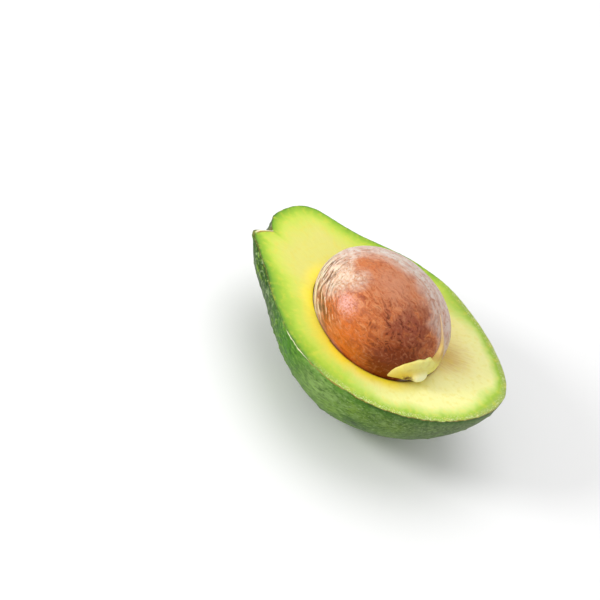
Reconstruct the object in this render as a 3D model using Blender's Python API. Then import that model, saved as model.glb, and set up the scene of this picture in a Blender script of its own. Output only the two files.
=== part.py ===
"""Half an avocado with its pit still in it, lying skin side down on a small flat spot.

Frame: metres, +Z up. The origin is the middle of the resting spot, the long axis is X with the
round blossom end at +X and the stem end at -X, and the cut face is level and faces up.
"""

import math

import bmesh
import bpy
from mathutils import Matrix, Vector

# The half fruit.
FRUIT_LENGTH = 0.110          # stem end to blossom end
BELLY_HALF_WIDTH = 0.0392     # before the neck's narrowing reaches it
BELLY_DEPTH = 0.0380          # from the cut face down to the skin
NECK_NARROWING = 0.0112       # how much the half width loses at the neck
NECK_FROM_STEM_END = 0.0165   # where it is narrowest, from the stem end
NECK_SPREAD = 0.0244          # how far that narrowing reaches along the fruit
NECK_RISE = 0.0145            # how much shallower the neck is than the belly
NECK_RISE_LENGTH = 0.0620     # from the full depth to the neck's depth
NECK_RISE_START = 0.0170      # where the depth starts to lessen, from mid length
NECK_LEAN = 0.0060            # the stem end leans sideways, towards +Y
BLOSSOM_LEAN = 0.0072         # and so does the blossom end
STEM_END_BLUNTNESS = 2.5      # 2 is an ellipse, more is blunter
BLOSSOM_END_BLUNTNESS = 1.92

# The hollow where the stem sat.
NOTCH_RADIUS = 0.0042
NOTCH_DEPTH = 0.0055
NOTCH_BELOW_CUT_FACE = 0.0008
NOTCH_SIDEWAYS = -0.0022      # from the fruit's middle line

# The flat spot that it rests on.
RESTING_CUT = 0.0011          # how far it is cut into the skin

# The pit: an egg on its side, its blunt end towards the blossom end.
PIT_HALF_LENGTH = 0.0279
PIT_HALF_WIDTH = 0.0229
PIT_HALF_HEIGHT = 0.0218
PIT_TAPER = 0.06              # share by which the blunt end is fatter than the middle
PIT_FROM_MID_LENGTH = 0.0026
PIT_SIDEWAYS = -0.0018
PIT_ABOVE_CUT_FACE = 0.0044   # its centre
PIT_YAW = math.radians(-10)
PIT_CLEARANCE = 0.0003        # the gap to its hollow all round

# Mesh fineness.
FRUIT_SEGMENTS = 56
FRUIT_RINGS = 40
PIT_SEGMENTS = 40
PIT_RINGS = 28
NOTCH_SEGMENTS = 20
NOTCH_RINGS = 12
ON_PLANE = 1e-6               # a vertex this near to a cutting plane counts as on it

HALF_LENGTH = FRUIT_LENGTH / 2
POLES_TO_X = Matrix.Rotation(math.radians(90), 4, "Y")


def smooth_step(value):
    share = min(max(value, 0.0), 1.0)
    return share * share * (3 - 2 * share)


def end_rounding(along):
    """1 at mid length and 0 at both ends, for along from -1 to 1."""
    power = STEM_END_BLUNTNESS if along < 0 else BLOSSOM_END_BLUNTNESS
    return max(0.0, 1 - abs(along) ** power) ** (1 / power)


def half_width(along):
    x = along * HALF_LENGTH
    from_neck = x - (NECK_FROM_STEM_END - HALF_LENGTH)
    narrowing = NECK_NARROWING * math.exp(-((from_neck / NECK_SPREAD) ** 2))
    return end_rounding(along) * (BELLY_HALF_WIDTH - narrowing)


def depth(along):
    x = along * HALF_LENGTH
    rise = NECK_RISE * smooth_step((NECK_RISE_START - x) / NECK_RISE_LENGTH)
    return end_rounding(along) * (BELLY_DEPTH - rise)


def lean(along):
    """Sideways place of the middle of the fruit."""
    return NECK_LEAN * max(-along, 0.0) ** 3 + BLOSSOM_LEAN * max(along, 0.0) ** 4


def lowest_place():
    """Share of the half length where the skin is lowest."""
    steps = 400
    return max((step / steps for step in range(-steps, steps + 1)), key=depth)


LOWEST = lowest_place()
CUT_FACE_HEIGHT = depth(LOWEST) - RESTING_CUT
# From the middle of the fruit in its cut face to the origin of the part.
FRUIT_MIDDLE = Vector((-LOWEST * HALF_LENGTH, -lean(LOWEST), CUT_FACE_HEIGHT))


def clear_scene():
    for obj in list(bpy.data.objects):
        bpy.data.objects.remove(obj, do_unlink=True)


def add_object(name, bm, colour, roughness):
    bmesh.ops.recalc_face_normals(bm, faces=bm.faces)
    mesh = bpy.data.meshes.new(name)
    bm.to_mesh(mesh)
    bm.free()
    mesh.shade_smooth()
    mesh.set_sharp_from_angle(angle=math.radians(40))
    material = bpy.data.materials.new(name)
    material.use_nodes = True
    shader = material.node_tree.nodes["Principled BSDF"]
    shader.inputs["Base Color"].default_value = (*colour, 1.0)
    shader.inputs["Roughness"].default_value = roughness
    shader.inputs["Metallic"].default_value = 0.0
    mesh.materials.append(material)
    obj = bpy.data.objects.new(name, mesh)
    bpy.context.collection.objects.link(obj)
    return obj


def add_cutter(target, name, bm):
    cutter = add_object(name, bm, (0.8, 0.8, 0.8), 0.5)
    cutter.hide_render = True
    cutter.display_type = "WIRE"
    cut = target.modifiers.new(name, "BOOLEAN")
    cut.operation = "DIFFERENCE"
    cut.solver = "EXACT"
    cut.object = cutter
    return cutter


def unit_ball(segments, rings):
    """A ball of radius 1 with its poles on X."""
    bm = bmesh.new()
    bmesh.ops.create_uvsphere(
        bm, u_segments=segments, v_segments=rings, radius=1.0, matrix=POLES_TO_X
    )
    return bm


def cut_off(bm, point, normal):
    """Takes away what lies on the normal's side of a plane, and closes the cut with one face."""
    everything = bm.verts[:] + bm.edges[:] + bm.faces[:]
    cut = bmesh.ops.bisect_plane(
        bm, geom=everything, dist=ON_PLANE, plane_co=point, plane_no=normal, clear_outer=True
    )
    rim = [item for item in cut["geom_cut"] if isinstance(item, bmesh.types.BMEdge)]
    bmesh.ops.edgeloop_fill(bm, edges=rim)


def build_half():
    """Flesh and skin, grown as one piece: a ball shaped to the pear, cut level at top and bottom."""
    bm = unit_ball(FRUIT_SEGMENTS, FRUIT_RINGS)
    for vert in bm.verts:
        along, side, up = vert.co
        ring = math.hypot(side, up) or 1.0
        vert.co = FRUIT_MIDDLE + Vector((
            along * HALF_LENGTH,
            lean(along) + half_width(along) * side / ring,
            depth(along) * up / ring,
        ))
    cut_off(bm, FRUIT_MIDDLE, Vector((0, 0, 1)))
    cut_off(bm, Vector((0, 0, 0)), Vector((0, 0, -1)))
    return add_object("avocado_half", bm, (0.62, 0.66, 0.16), 0.45)


def egg(clearance):
    """The pit's shape in its place, larger by the clearance all round."""
    bm = unit_ball(PIT_SEGMENTS, PIT_RINGS)
    centre = FRUIT_MIDDLE + Vector((PIT_FROM_MID_LENGTH, PIT_SIDEWAYS, PIT_ABOVE_CUT_FACE))
    turn = Matrix.Rotation(PIT_YAW, 3, "Z")
    for vert in bm.verts:
        along, side, up = vert.co
        fatness = 1 + PIT_TAPER * along
        vert.co = centre + turn @ Vector((
            along * (PIT_HALF_LENGTH + clearance),
            side * (PIT_HALF_WIDTH * fatness + clearance),
            up * (PIT_HALF_HEIGHT * fatness + clearance),
        ))
    return bm


def stem_notch():
    """A short blunt hollow into the stem end, open to the cut face."""
    bm = unit_ball(NOTCH_SEGMENTS, NOTCH_RINGS)
    mouth = FRUIT_MIDDLE + Vector((-HALF_LENGTH, NOTCH_SIDEWAYS, -NOTCH_BELOW_CUT_FACE))
    for vert in bm.verts:
        along, side, up = vert.co
        vert.co = mouth + Vector((along * NOTCH_DEPTH, side * NOTCH_RADIUS, up * NOTCH_RADIUS))
    return bm


clear_scene()
half = build_half()
add_cutter(half, "pit_hollow", egg(PIT_CLEARANCE))
add_cutter(half, "stem_notch", stem_notch())
add_object("pit", egg(0.0), (0.36, 0.13, 0.05), 0.40)
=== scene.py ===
"""Half an avocado with its pit: the looks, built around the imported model.

Metres, +Z up. The fruit's long axis is X, its stem end at -X, and its cut face is level.
"""

import math

import bpy
import numpy as np
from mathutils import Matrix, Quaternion, Vector, noise


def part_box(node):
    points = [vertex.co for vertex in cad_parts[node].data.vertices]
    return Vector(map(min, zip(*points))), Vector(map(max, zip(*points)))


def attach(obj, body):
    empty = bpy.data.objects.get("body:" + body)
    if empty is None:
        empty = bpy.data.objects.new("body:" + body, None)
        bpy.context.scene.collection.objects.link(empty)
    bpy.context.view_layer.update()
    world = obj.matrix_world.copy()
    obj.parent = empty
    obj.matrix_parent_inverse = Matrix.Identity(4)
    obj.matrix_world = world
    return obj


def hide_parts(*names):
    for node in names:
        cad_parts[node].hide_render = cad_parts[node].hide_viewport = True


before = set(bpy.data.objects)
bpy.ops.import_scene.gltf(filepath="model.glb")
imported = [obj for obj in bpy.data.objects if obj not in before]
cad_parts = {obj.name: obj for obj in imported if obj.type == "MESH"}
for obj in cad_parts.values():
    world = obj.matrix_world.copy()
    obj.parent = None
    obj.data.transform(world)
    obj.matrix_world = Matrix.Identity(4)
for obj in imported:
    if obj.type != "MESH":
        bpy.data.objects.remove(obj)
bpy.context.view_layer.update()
bpy.ops.object.select_all(action="DESELECT")


# ---- The half fruit ----
# Flesh and skin, grown as one piece and cut lengthways with a knife, so the cut face is level but
# for the blade's faint waves. The pit's hollow is open in it, and the stem's hollow notches its
# narrow end.

MM = 0.001
CAGE_COLUMNS = 144              # columns round the coarse ball, and its rings
SKIN_RINGS = 23
FACE_RINGS = 11
HOLLOW_RINGS = 4
COLUMNS = 4 * CAGE_COLUMNS      # after two subdivisions: about 0.5 mm apart at the rim
LIP_SHARE = 0.5                 # radius of the pit's lip while the rim still has radius 1

BELLY_HALF_WIDTH = 39.2 * MM    # before the neck's narrowing reaches it
BELLY_DEPTH = 38.0 * MM
NECK_NARROWING = 11.2 * MM      # how much the half width loses at the neck
NECK_FROM_STEM_END = 16.5 * MM  # where it is narrowest
NECK_SPREAD = 24.4 * MM         # how far the narrowing reaches
NECK_RISE = 14.5 * MM           # how much shallower the neck is than the belly
NECK_RISE_LENGTH = 62.0 * MM
NECK_RISE_START = 17.0 * MM     # from mid length
NECK_LEAN = 6.0 * MM            # both ends lean sideways, towards +Y
BLOSSOM_LEAN = 7.2 * MM
STEM_END_BLUNTNESS = 2.5        # 2 is an ellipse, more is blunter
BLOSSOM_END_BLUNTNESS = 1.92

PIT_HALF_SIZE = np.array([27.9, 22.9, 21.8]) * MM
PIT_TAPER = 0.06                # share by which the blunt end is fatter than the middle
PIT_FROM_MIDDLE = np.array([2.6, -1.8, 4.4]) * MM
PIT_YAW = math.radians(-10)
PIT_GAP = 0.25 * MM

NOTCH_DEPTH = 5.2 * MM
NOTCH_RADIUS = 6.4 * MM
NOTCH_SIDEWAYS = -2.6 * MM
NOTCH_FADE = 15 * MM            # how far into the flesh the notch pushes it together

WALL_LEVEL = 0.0005             # a vertex of the coarse ball this near to level is on the cut face
SKIN_LUMPS = ((0.30, 15, 1), (0.12, 5, 2), (0.06, 1.7, 3))   # height and size in mm, and a seed

TUCK = 1.4 * MM                 # how far the near edge by the stem lies inside the skin's swell
LOBE_CORNER = np.array([-51.8, -8.6]) * MM   # where the shoulder beside the notch is squarer
LOBE_SWELL = 0.9 * MM
LOBE_SPREAD = 3.6 * MM

RUSSET_SPOTS = (                # place from the middle of the cut face, and reach, in millimetres
    (-9, 30, -17, 1.5), (-6, 31, -15, 0.9), (-11, 28, -20, 1.0), (14, 33, -14, 1.2),
    (17, 31, -17, 0.8), (-27, 20, -16, 1.1), (2, 24, -27, 1.3), (5, 22, -29, 0.8),
    (30, 12, -26, 1.2), (38, -4, -22, 1.0),
)

DIP_PLACE = np.array([28.5, 11.0]) * MM   # the soft dip past the pit's base
DIP_RADIUS = 15 * MM
DIP_DEPTH = 1.5 * MM

half_low, half_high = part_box("avocado_half")
HALF_LENGTH = (half_high.x - half_low.x) / 2
middle = np.array([(half_low.x + half_high.x) / 2, 0.0, half_high.z])


def smooth_step(value):
    share = np.clip(value, 0.0, 1.0)
    return share * share * (3 - 2 * share)


def end_rounding(x):
    along = np.clip(np.abs(x) / HALF_LENGTH, 0, 1)
    power = np.where(x < 0, STEM_END_BLUNTNESS, BLOSSOM_END_BLUNTNESS)
    return np.maximum(1 - along ** power, 0.0) ** (1 / power)


def half_width(x):
    from_neck = x + HALF_LENGTH - NECK_FROM_STEM_END
    narrowing = NECK_NARROWING * np.exp(-((from_neck / NECK_SPREAD) ** 2))
    return end_rounding(x) * (BELLY_HALF_WIDTH - narrowing)


def depth(x):
    rise = NECK_RISE * smooth_step((NECK_RISE_START - x) / NECK_RISE_LENGTH)
    return end_rounding(x) * (BELLY_DEPTH - rise)


def lean(x):
    along = x / HALF_LENGTH
    return NECK_LEAN * np.maximum(-along, 0) ** 3 + BLOSSOM_LEAN * np.maximum(along, 0) ** 4


def rim_outline(count):
    """Points at even steps along the cut face's outline, from the blossom end by the +Y side."""
    turn = np.linspace(0, 2 * math.pi, 8001)
    x = np.cos(turn) * HALF_LENGTH
    y = lean(x) + np.sign(np.sin(turn)) * half_width(x)
    length = np.concatenate([[0], np.cumsum(np.hypot(np.diff(x), np.diff(y)))])
    even = np.linspace(0, length[-1], count, endpoint=False)
    return np.stack([np.interp(even, length, x), np.interp(even, length, y)], axis=1)


def field(points, size, seed):
    """Smooth noise from -1 to 1 at each point, with lumps about size across."""
    offset = Vector((seed * 7.3, seed * 3.1, seed * 5.7))
    return np.array([noise.noise(Vector(point) / size + offset) for point in points])


# It starts as a ball without its upper half. The open rim is extruded inwards over the cut face,
# with closer rings at both ends, and up into a dome, which is later turned down into the hollow.
bpy.ops.mesh.primitive_uv_sphere_add(segments=CAGE_COLUMNS, ring_count=2 * SKIN_RINGS, radius=1)
half = bpy.context.object
half.name = "avocado_flesh_and_skin"
bpy.ops.object.mode_set(mode="EDIT")
bpy.ops.mesh.select_all(action="SELECT")
bpy.ops.mesh.bisect(plane_co=(0, 0, 0), plane_no=(0, 0, 1), clear_outer=True, threshold=0.001)
bpy.ops.mesh.select_all(action="DESELECT")
bpy.ops.mesh.select_non_manifold()
radius = 1.0
for ring in range(1, FACE_RINGS + 1):
    share = smooth_step(ring / FACE_RINGS) * 0.4 + 0.6 * ring / FACE_RINGS
    new_radius = 1 - (1 - LIP_SHARE) * share
    bpy.ops.mesh.extrude_edges_move()
    bpy.ops.transform.resize(value=(new_radius / radius, new_radius / radius, 1))
    radius = new_radius
for ring in range(1, HOLLOW_RINGS):
    turn = math.pi / 2 * ring / HOLLOW_RINGS
    new_radius = LIP_SHARE * math.cos(turn)
    rise = LIP_SHARE * (math.sin(turn) - math.sin(turn - math.pi / 2 / HOLLOW_RINGS))
    bpy.ops.mesh.extrude_edges_move()
    bpy.ops.transform.resize(value=(new_radius / radius, new_radius / radius, 1))
    bpy.ops.transform.translate(value=(0, 0, rise))
    radius = new_radius
bpy.ops.mesh.extrude_edges_move()
bpy.ops.mesh.merge(type="CENTER")
bpy.ops.object.mode_set(mode="OBJECT")
fine = half.modifiers.new("fine", "SUBSURF")
fine.subdivision_type = "SIMPLE"
fine.levels = 2
fine.render_levels = 2
bpy.ops.object.modifier_apply(modifier="fine")

# Each vertex's column, and its radius without the flats of the coarse ball.
cage = np.array([vertex.co for vertex in half.data.vertices])
turn = np.arctan2(cage[:, 1], cage[:, 0]) / (2 * math.pi)
column = np.rint(turn * COLUMNS).astype(int) % COLUMNS
off_middle = (np.mod(turn * CAGE_COLUMNS, 1) - 0.5) * 2 * math.pi / CAGE_COLUMNS
across = np.hypot(cage[:, 0], cage[:, 1]) * np.cos(off_middle) / math.cos(math.pi / CAGE_COLUMNS)
on_skin = cage[:, 2] < -WALL_LEVEL
in_hollow = cage[:, 2] > WALL_LEVEL
on_face = ~on_skin & ~in_hollow
on_rim = on_face & (across > 1 - WALL_LEVEL)
outside = on_skin | on_rim
across[on_skin] = np.cos(np.arctan2(-cage[:, 2], across))[on_skin]

rim = rim_outline(COLUMNS)
tangent = np.roll(rim, -1, axis=0) - np.roll(rim, 1, axis=0)
outward = np.stack([tangent[:, 1], -tangent[:, 0]], axis=1)
outward /= np.linalg.norm(outward, axis=1)[:, None]

pit_turn = np.array([[math.cos(PIT_YAW), -math.sin(PIT_YAW)], [math.sin(PIT_YAW), math.cos(PIT_YAW)]])
lip_size = PIT_HALF_SIZE + PIT_GAP
to_rim = (rim - PIT_FROM_MIDDLE[:2]) @ pit_turn / lip_size[:2]
to_rim /= np.linalg.norm(to_rim, axis=1)[:, None]
lip_drop = math.asin(PIT_FROM_MIDDLE[2] / lip_size[2])


def hollow_point(direction, down):
    """A point of the pit's hollow: direction round the pit, and an angle down from its middle."""
    side = direction * np.cos(down)[:, None]
    fatness = 1 + PIT_TAPER * side[:, 0]
    plan = np.stack([side[:, 0] * lip_size[0], side[:, 1] * lip_size[1] * fatness], axis=1)
    plan = plan @ pit_turn.T + PIT_FROM_MIDDLE[:2]
    height = PIT_FROM_MIDDLE[2] - np.sin(down) * lip_size[2] * fatness
    return np.column_stack([plan, height])


shape = np.zeros_like(cage)
# The skin hangs from the rim to the middle of the belly, even steps of angle apart.
plan = rim[column] * across[:, None]
spread = np.maximum(half_width(plan[:, 0]), 1e-6)
sideways = np.clip((plan[:, 1] - lean(plan[:, 0])) / spread, -1, 1)
hang = -depth(plan[:, 0]) * np.sqrt(1 - sideways ** 2)
shape[on_skin] = np.column_stack([plan, hang])[on_skin]
# The cut face runs from the rim to the lip.
lip = hollow_point(to_rim, np.full(COLUMNS, lip_drop))[:, :2]
inwards = (1 - across) / (1 - LIP_SHARE)
flat = rim[column] + (lip - rim)[column] * inwards[:, None]
shape[on_face] = np.column_stack([flat, np.zeros(len(cage))])[on_face]
# The dome turns down into the hollow.
climb = np.arctan2(cage[:, 2], across) / (math.pi / 2)
down = lip_drop + (math.pi / 2 - lip_drop) * climb
shape[in_hollow] = hollow_point(to_rim[column], down)[in_hollow]

# Distances that the colours follow, in millimetres; 40 stands for far inside.
from_rim = np.full(len(cage), 40.0)
from_lip = np.zeros(len(cage))
wall = np.linalg.norm(lip - rim, axis=1)[column]
reach = np.abs(((rim - lip) * outward).sum(axis=1))[column]
from_rim[on_face] = (inwards * reach)[on_face] / MM
from_lip[on_face] = ((1 - inwards) * wall)[on_face] / MM
below_rim = np.where(on_skin, -shape[:, 2] / MM, 0.0)

# Lumps: the fruit's own slow waves and a fine pebbling, along the skin's normal.
half.data.vertices.foreach_set("co", shape.astype(np.float32).ravel())
half.data.update()
normals = np.zeros(len(cage) * 3, np.float32)
half.data.vertices.foreach_get("normal", normals)
normals = normals.reshape(-1, 3).astype(float)
lumps = np.zeros(len(cage))
for height, size, seed in SKIN_LUMPS:
    lumps[outside] += height * MM * field(shape[outside], size * MM, seed)

# Raised dots, 3 mm by 1.1 mm, thick towards the stem end and few on the blossom end.
DOT_LENGTH = 1.5 * MM
DOT_WIDTH = 0.62 * MM
DOT_HEIGHT = 0.42 * MM
DOT_APART = 3.1 * MM
DOT_TRIES = 2600
random = np.random.default_rng(11)
skin_index = np.flatnonzero(on_skin & (shape[:, 2] < -0.8 * MM) & (across > 0.1))
# Blender numbers the vertices in another order in each run, so they are put in order by ring.
ring = np.rint(np.arctan2(-cage[:, 2], np.hypot(cage[:, 0], cage[:, 1])) * 8 * SKIN_RINGS / math.pi)
skin_index = skin_index[np.lexsort((column[skin_index], ring[skin_index]))]
skin_x, skin_y, _ = shape[skin_index].T
chance = smooth_step((18 * MM - skin_x) / (60 * MM)) + 0.03
chance *= across[skin_index] * (0.1 + 0.9 * smooth_step((skin_y + 22 * MM) / (20 * MM)))
picked = random.choice(skin_index, size=DOT_TRIES, replace=False, p=chance / chance.sum())
dots = [picked[0]]
for index in picked[1:]:
    if np.min(np.sum((shape[dots] - shape[index]) ** 2, axis=1)) > DOT_APART ** 2:
        dots.append(index)
raised = np.zeros(len(cage))
for index in dots:
    offset = shape[skin_index] - shape[index]
    normal = normals[index]
    lengthways = np.array([1.0, 0, 0]) - normal * normal[0]
    lengthways /= np.linalg.norm(lengthways)
    size = random.uniform(0.45, 1.2)
    along_dot = offset @ lengthways / (DOT_LENGTH * size * random.uniform(0.7, 1.3))
    across_dot = offset @ np.cross(normal, lengthways) / (DOT_WIDTH * size * random.uniform(0.8, 1.3))
    height = np.exp(-(along_dot ** 2 + across_dot ** 2)) * random.uniform(0.4, 1.0)
    raised[skin_index] = np.maximum(raised[skin_index], height)

# Grooves that run out from the stem's hollow over the shoulder.
stem_place = np.array([-HALF_LENGTH, NOTCH_SIDEWAYS, 0.0])
from_stem = np.linalg.norm(shape - stem_place, axis=1)
around_stem = np.arctan2(shape[:, 1] - NOTCH_SIDEWAYS, -shape[:, 2] + 1 * MM)
grooves = np.cos(around_stem * 11 + 2 * np.sin(around_stem * 3))
grooves *= smooth_step(from_stem / (5 * MM)) * smooth_step((16 * MM - from_stem) / (9 * MM))
lumps += np.where(on_skin, 0.12 * MM * grooves, 0.0)

# The knife tore the skin a little where it left it, along the near side of the blossom half.
rim_x, rim_y = rim.T
rim_point = np.column_stack([rim, np.zeros(COLUMNS)])
torn = smooth_step((rim_x - 4 * MM) / (14 * MM)) * smooth_step((2 * MM - rim_y) / (12 * MM))
ragged = 0.10 * MM * (field(rim_point, 2.6 * MM, 7) + field(rim_point, 1.1 * MM, 8))
ragged *= 1 + 2.2 * torn
# By the stem the skin swells out below the cut face's near edge.
tucked = smooth_step((-27 * MM - rim_x) / (12 * MM)) * smooth_step((-10 * MM - rim_y) / (6 * MM))
from_corner = np.linalg.norm(rim - LOBE_CORNER, axis=1)
corner = LOBE_SWELL * np.exp(-((from_corner / LOBE_SPREAD) ** 2))
tuck = -TUCK * tucked + corner
rim_lumps = np.zeros(COLUMNS)
rim_lumps[column[on_rim]] = lumps[on_rim]
rim_lumps += ragged + tuck


def near_rim(reach):
    """1 at the height of the cut face, falling to 0 that far below it."""
    return np.clip(1 + shape[:, 2] / reach, 0, 1)


lumps += np.where(on_skin, tuck[column] * near_rim(5 * MM) ** 2, 0.0)
lumps += np.where(on_skin, corner[column] * near_rim(14 * MM), 0.0)
lumps += np.where(outside, ragged[column] * near_rim(1.5 * MM), 0.0)
moved = shape.copy()
moved[on_skin] += normals[on_skin] * (lumps + DOT_HEIGHT * raised)[on_skin, None]
inner = np.where(on_face, (1 - inwards) ** 2, 0.0)
moved[on_face, :2] += (outward[column] * (rim_lumps[column] * inner)[:, None])[on_face]

# The blade's waves, the soft dip past the pit's base, and both edges of the cut eased off.
lip_way = to_rim[column]
face_points = shape[on_face]
waves = 0.10 * MM * field(face_points, 9 * MM, 4) + 0.035 * MM * field(face_points, 2.2 * MM, 5)
from_dip = np.linalg.norm(shape[:, :2] - DIP_PLACE, axis=1)
dip = smooth_step(1 - from_dip / DIP_RADIUS) * smooth_step(from_rim / 8)
edge_ease = 0.22 * MM * np.clip(1 - from_rim / 0.7, 0, 1) ** 2
lip_round = np.where(lip_way[:, 0] > 0, 0.40, 0.12) * MM
lip_ease = lip_round * np.clip(1 - from_lip / 1.4, 0, 1) ** 2
moved[on_face, 2] += waves * np.minimum(1, from_rim[on_face] / 3)
moved[on_face, 2] -= (DIP_DEPTH * dip + edge_ease + lip_ease)[on_face]

# The stem's hollow, a blunt funnel pushed in from the stem end.
from_axis = np.hypot(moved[:, 1] - NOTCH_SIDEWAYS, np.minimum(moved[:, 2], 0) * 0.9)
far_side = smooth_step((moved[:, 1] - NOTCH_SIDEWAYS) / (1.5 * MM))
mouth = NOTCH_RADIUS * (1 + 0.5 * far_side)
funnel = NOTCH_DEPTH * np.clip(1 - from_axis / mouth, 0, 1) ** (1.3 + 0.8 * far_side)
fade = 1 - np.clip((moved[:, 0] + HALF_LENGTH) / NOTCH_FADE, 0, 1)
moved[:, 0] += funnel * fade
behind_funnel = moved[:, 0] + HALF_LENGTH - funnel
scar = np.clip(1 - from_axis / (NOTCH_RADIUS * 0.55), 0, 1)
scar *= np.clip(1 - behind_funnel / (1.6 * MM), 0, 1)

# The flat spot that it rests on.
moved += middle
moved[:, 2] = np.maximum(moved[:, 2], 0.0)
half.data.vertices.foreach_set("co", moved.astype(np.float32).ravel())
half.data.update()

# What the colours follow: millimetres in from the skin and the pit, and masks from 0 to 1.
RIM_BAND = 7.6                  # how far the green reaches in from the skin, in millimetres
NEAR_SIDE_BAND = 2.6            # and how much further on the -Y side


def store(piece, name, values):
    """Keeps a number or a vector for each vertex, for the materials to read by name."""
    values = np.asarray(values, np.float32)
    kind, slot = ("FLOAT", "value") if values.ndim == 1 else ("FLOAT_VECTOR", "vector")
    piece.data.attributes.new(name, kind, "POINT").data.foreach_set(slot, values.ravel())


def spot(x, y, z, reach):
    """1 at a place in millimetres from the middle of the cut face, fading out over reach."""
    away = np.linalg.norm(shape - np.array([x, y, z]) * MM, axis=1) / (reach * MM)
    return np.exp(-away ** 2)


edge_x, edge_y = rim[column].T
outward_y = outward[column][:, 1]
neckness = smooth_step((10 * MM - shape[:, 0]) / (30 * MM))
band = RIM_BAND + NEAR_SIDE_BAND * smooth_step(0.3 - outward_y) * neckness - 0.6 * torn[column]
band += (1 - neckness) * (0.8 - 2.6 * smooth_step((outward_y - 0.1) / 0.6))
wander = field(rim_point, 11 * MM, 6)[column]
greenness = from_rim / (band * (1 + 0.28 * wander)) + 0.20 * torn[column]
store(half, "from_skin", np.where(on_face, from_rim, 0.0))
store(half, "from_pit", from_lip)
store(half, "below_rim", below_rim)
store(half, "raised_dots", raised)
store(half, "stem_scar", scar)
# A twig rubbed the skin on the side away from the tear, and it healed in brown corky spots.
corky = np.max([spot(*place) for place in RUSSET_SPOTS], axis=0)
store(half, "russet_spots", np.where(on_skin, corky, 0.0))
store(half, "soft_dip", dip)
# Painted shade darkens the flesh at the pit's lip, low down where the pit and the tag touch it.
lip_contact_shade = smooth_step((lip_way[:, 0] + 0.45) / 0.6) * smooth_step((0.50 - lip_way[:, 1]) / 0.5)
lip_contact_shade *= np.exp(-((from_lip / (0.5 + 0.25 * wander)) ** 2))
store(half, "painted_lip_shade", np.where(on_skin, 0.0, lip_contact_shade))
# The skin's cut edge: a painted highlight where it was pulled, brown where it dried.
near_edge = edge_y < 10 * MM
highlight_stretch = smooth_step((edge_x + 14.5 * MM) / (3 * MM)) * smooth_step((1.5 * MM - edge_x) / (4 * MM))
pale = 0.75 + 0.25 * field(rim_point, 3 * MM, 9)[column]
store(half, "pulled_edge_highlight", near_edge * highlight_stretch * pale)
dried = np.maximum(smooth_step((edge_x + 12 * MM) / (8 * MM)), 0.35) * (1 - highlight_stretch)
patchy = smooth_step(0.75 + 0.9 * field(rim_point, 2.4 * MM, 10)[column])
store(half, "dried_edge", near_edge * dried * patchy)
on_lobe = smooth_step((-48.6 * MM - edge_x) / MM) * smooth_step((edge_y + 9.5 * MM) / (2 * MM))
on_lobe *= smooth_step((NOTCH_SIDEWAYS + 0.4 * MM - edge_y) / MM)
store(half, "lobe_edge", on_lobe)
store(half, "inwards_from_green", np.where(on_face, greenness + 0.30 * on_lobe, 0.0))
store(half, "blossom_half", smooth_step((edge_x + 6 * MM) / (28 * MM)))
# A waxy patch on the near side, lightened by a painted sheen.
store(half, "waxy_sheen_patch", spot(8, -37, -8, 12))
store(half, "fresh_patch", spot(-11, -35, -6, 9))
golden = 0.30 + 1.0 * smooth_step((0.25 - lip_way[:, 1]) / 0.8)
golden += 0.3 * smooth_step((0.15 - lip_way[:, 1]) / 0.3) * smooth_step((lip_way[:, 0] + 0.35) / 0.5)
golden *= 1 - 0.45 * smooth_step((lip_way[:, 0] - 0.90) / 0.1)
store(half, "golden_side", golden)
# The flesh's fibres run out from the pit, about 0.5 mm wide and 4 mm long.
store(half, "fibre_run", np.column_stack([lip_way * 40, from_lip / 5]))

bpy.ops.object.mode_set(mode="EDIT")
bpy.ops.mesh.select_all(action="SELECT")
bpy.ops.mesh.remove_doubles(threshold=0.00001)
bpy.ops.mesh.normals_make_consistent(inside=False)
bpy.ops.object.mode_set(mode="OBJECT")
bpy.ops.object.shade_smooth_by_angle(angle=math.radians(50))


def linear(hex_colour):
    """An sRGB hex colour as the linear values that a shader takes."""
    parts = [int(hex_colour[i:i + 2], 16) / 255 for i in (1, 3, 5)]
    return [*(p / 12.92 if p <= 0.04045 else ((p + 0.055) / 1.055) ** 2.4 for p in parts), 1]


def add(tree, kind, sockets=None, stops=None, out=0, **settings):
    """Adds one node, sets it, links it and gives back one of its outputs.

    A socket's value is a number, a vector, a hex colour or another node's output.
    """
    node = tree.nodes.new("ShaderNode" + kind)
    for name, value in settings.items():
        setattr(node, name, value)
    for place, value in (sockets or {}).items():
        if isinstance(value, bpy.types.NodeSocket):
            tree.links.new(value, node.inputs[place])
        else:
            node.inputs[place].default_value = linear(value) if isinstance(value, str) else value
    if stops:
        ramp = node.color_ramp.elements
        while len(ramp) < len(stops):
            ramp.new(0.5)
        for element, (place, shade) in zip(ramp, stops):
            element.position = place
            element.color = linear(shade)
    return node.outputs[out]


# Sockets by number: a MapRange takes 0 from between 1 and 2 to between 3 and 4, which are 0 and 1
# unless they are set. A Mix has its factor at 0, its two numbers at 2 and 3, its shades at 6 and 7.
MIX_SHADE = {"data_type": "RGBA", "out": 2}
SMOOTH = {"interpolation_type": "SMOOTHSTEP"}


# Ripe flesh, cut with a smooth knife: pale and buttery, green towards the skin, golden at the pit.
# It is moist and oily, so it has a soft sheen, and light goes a few millimetres into it.
flesh = bpy.data.materials.new("ripe_avocado_flesh")
flesh.use_nodes = True
tree = flesh.node_tree
shader = tree.nodes["Principled BSDF"]
place = add(tree, "TexCoord", out="Object")
cloud = add(tree, "TexNoise", {"Vector": place, "Scale": 1 / (9 * MM), "Detail": 3.0})
mottle = add(tree, "TexNoise", {"Vector": place, "Scale": 1 / (2.2 * MM), "Detail": 4.0})
run = add(tree, "Attribute", out="Vector", attribute_name="fibre_run")
fibres = add(tree, "TexNoise", {"Vector": run, "Scale": 1.3, "Detail": 3.0})
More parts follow.
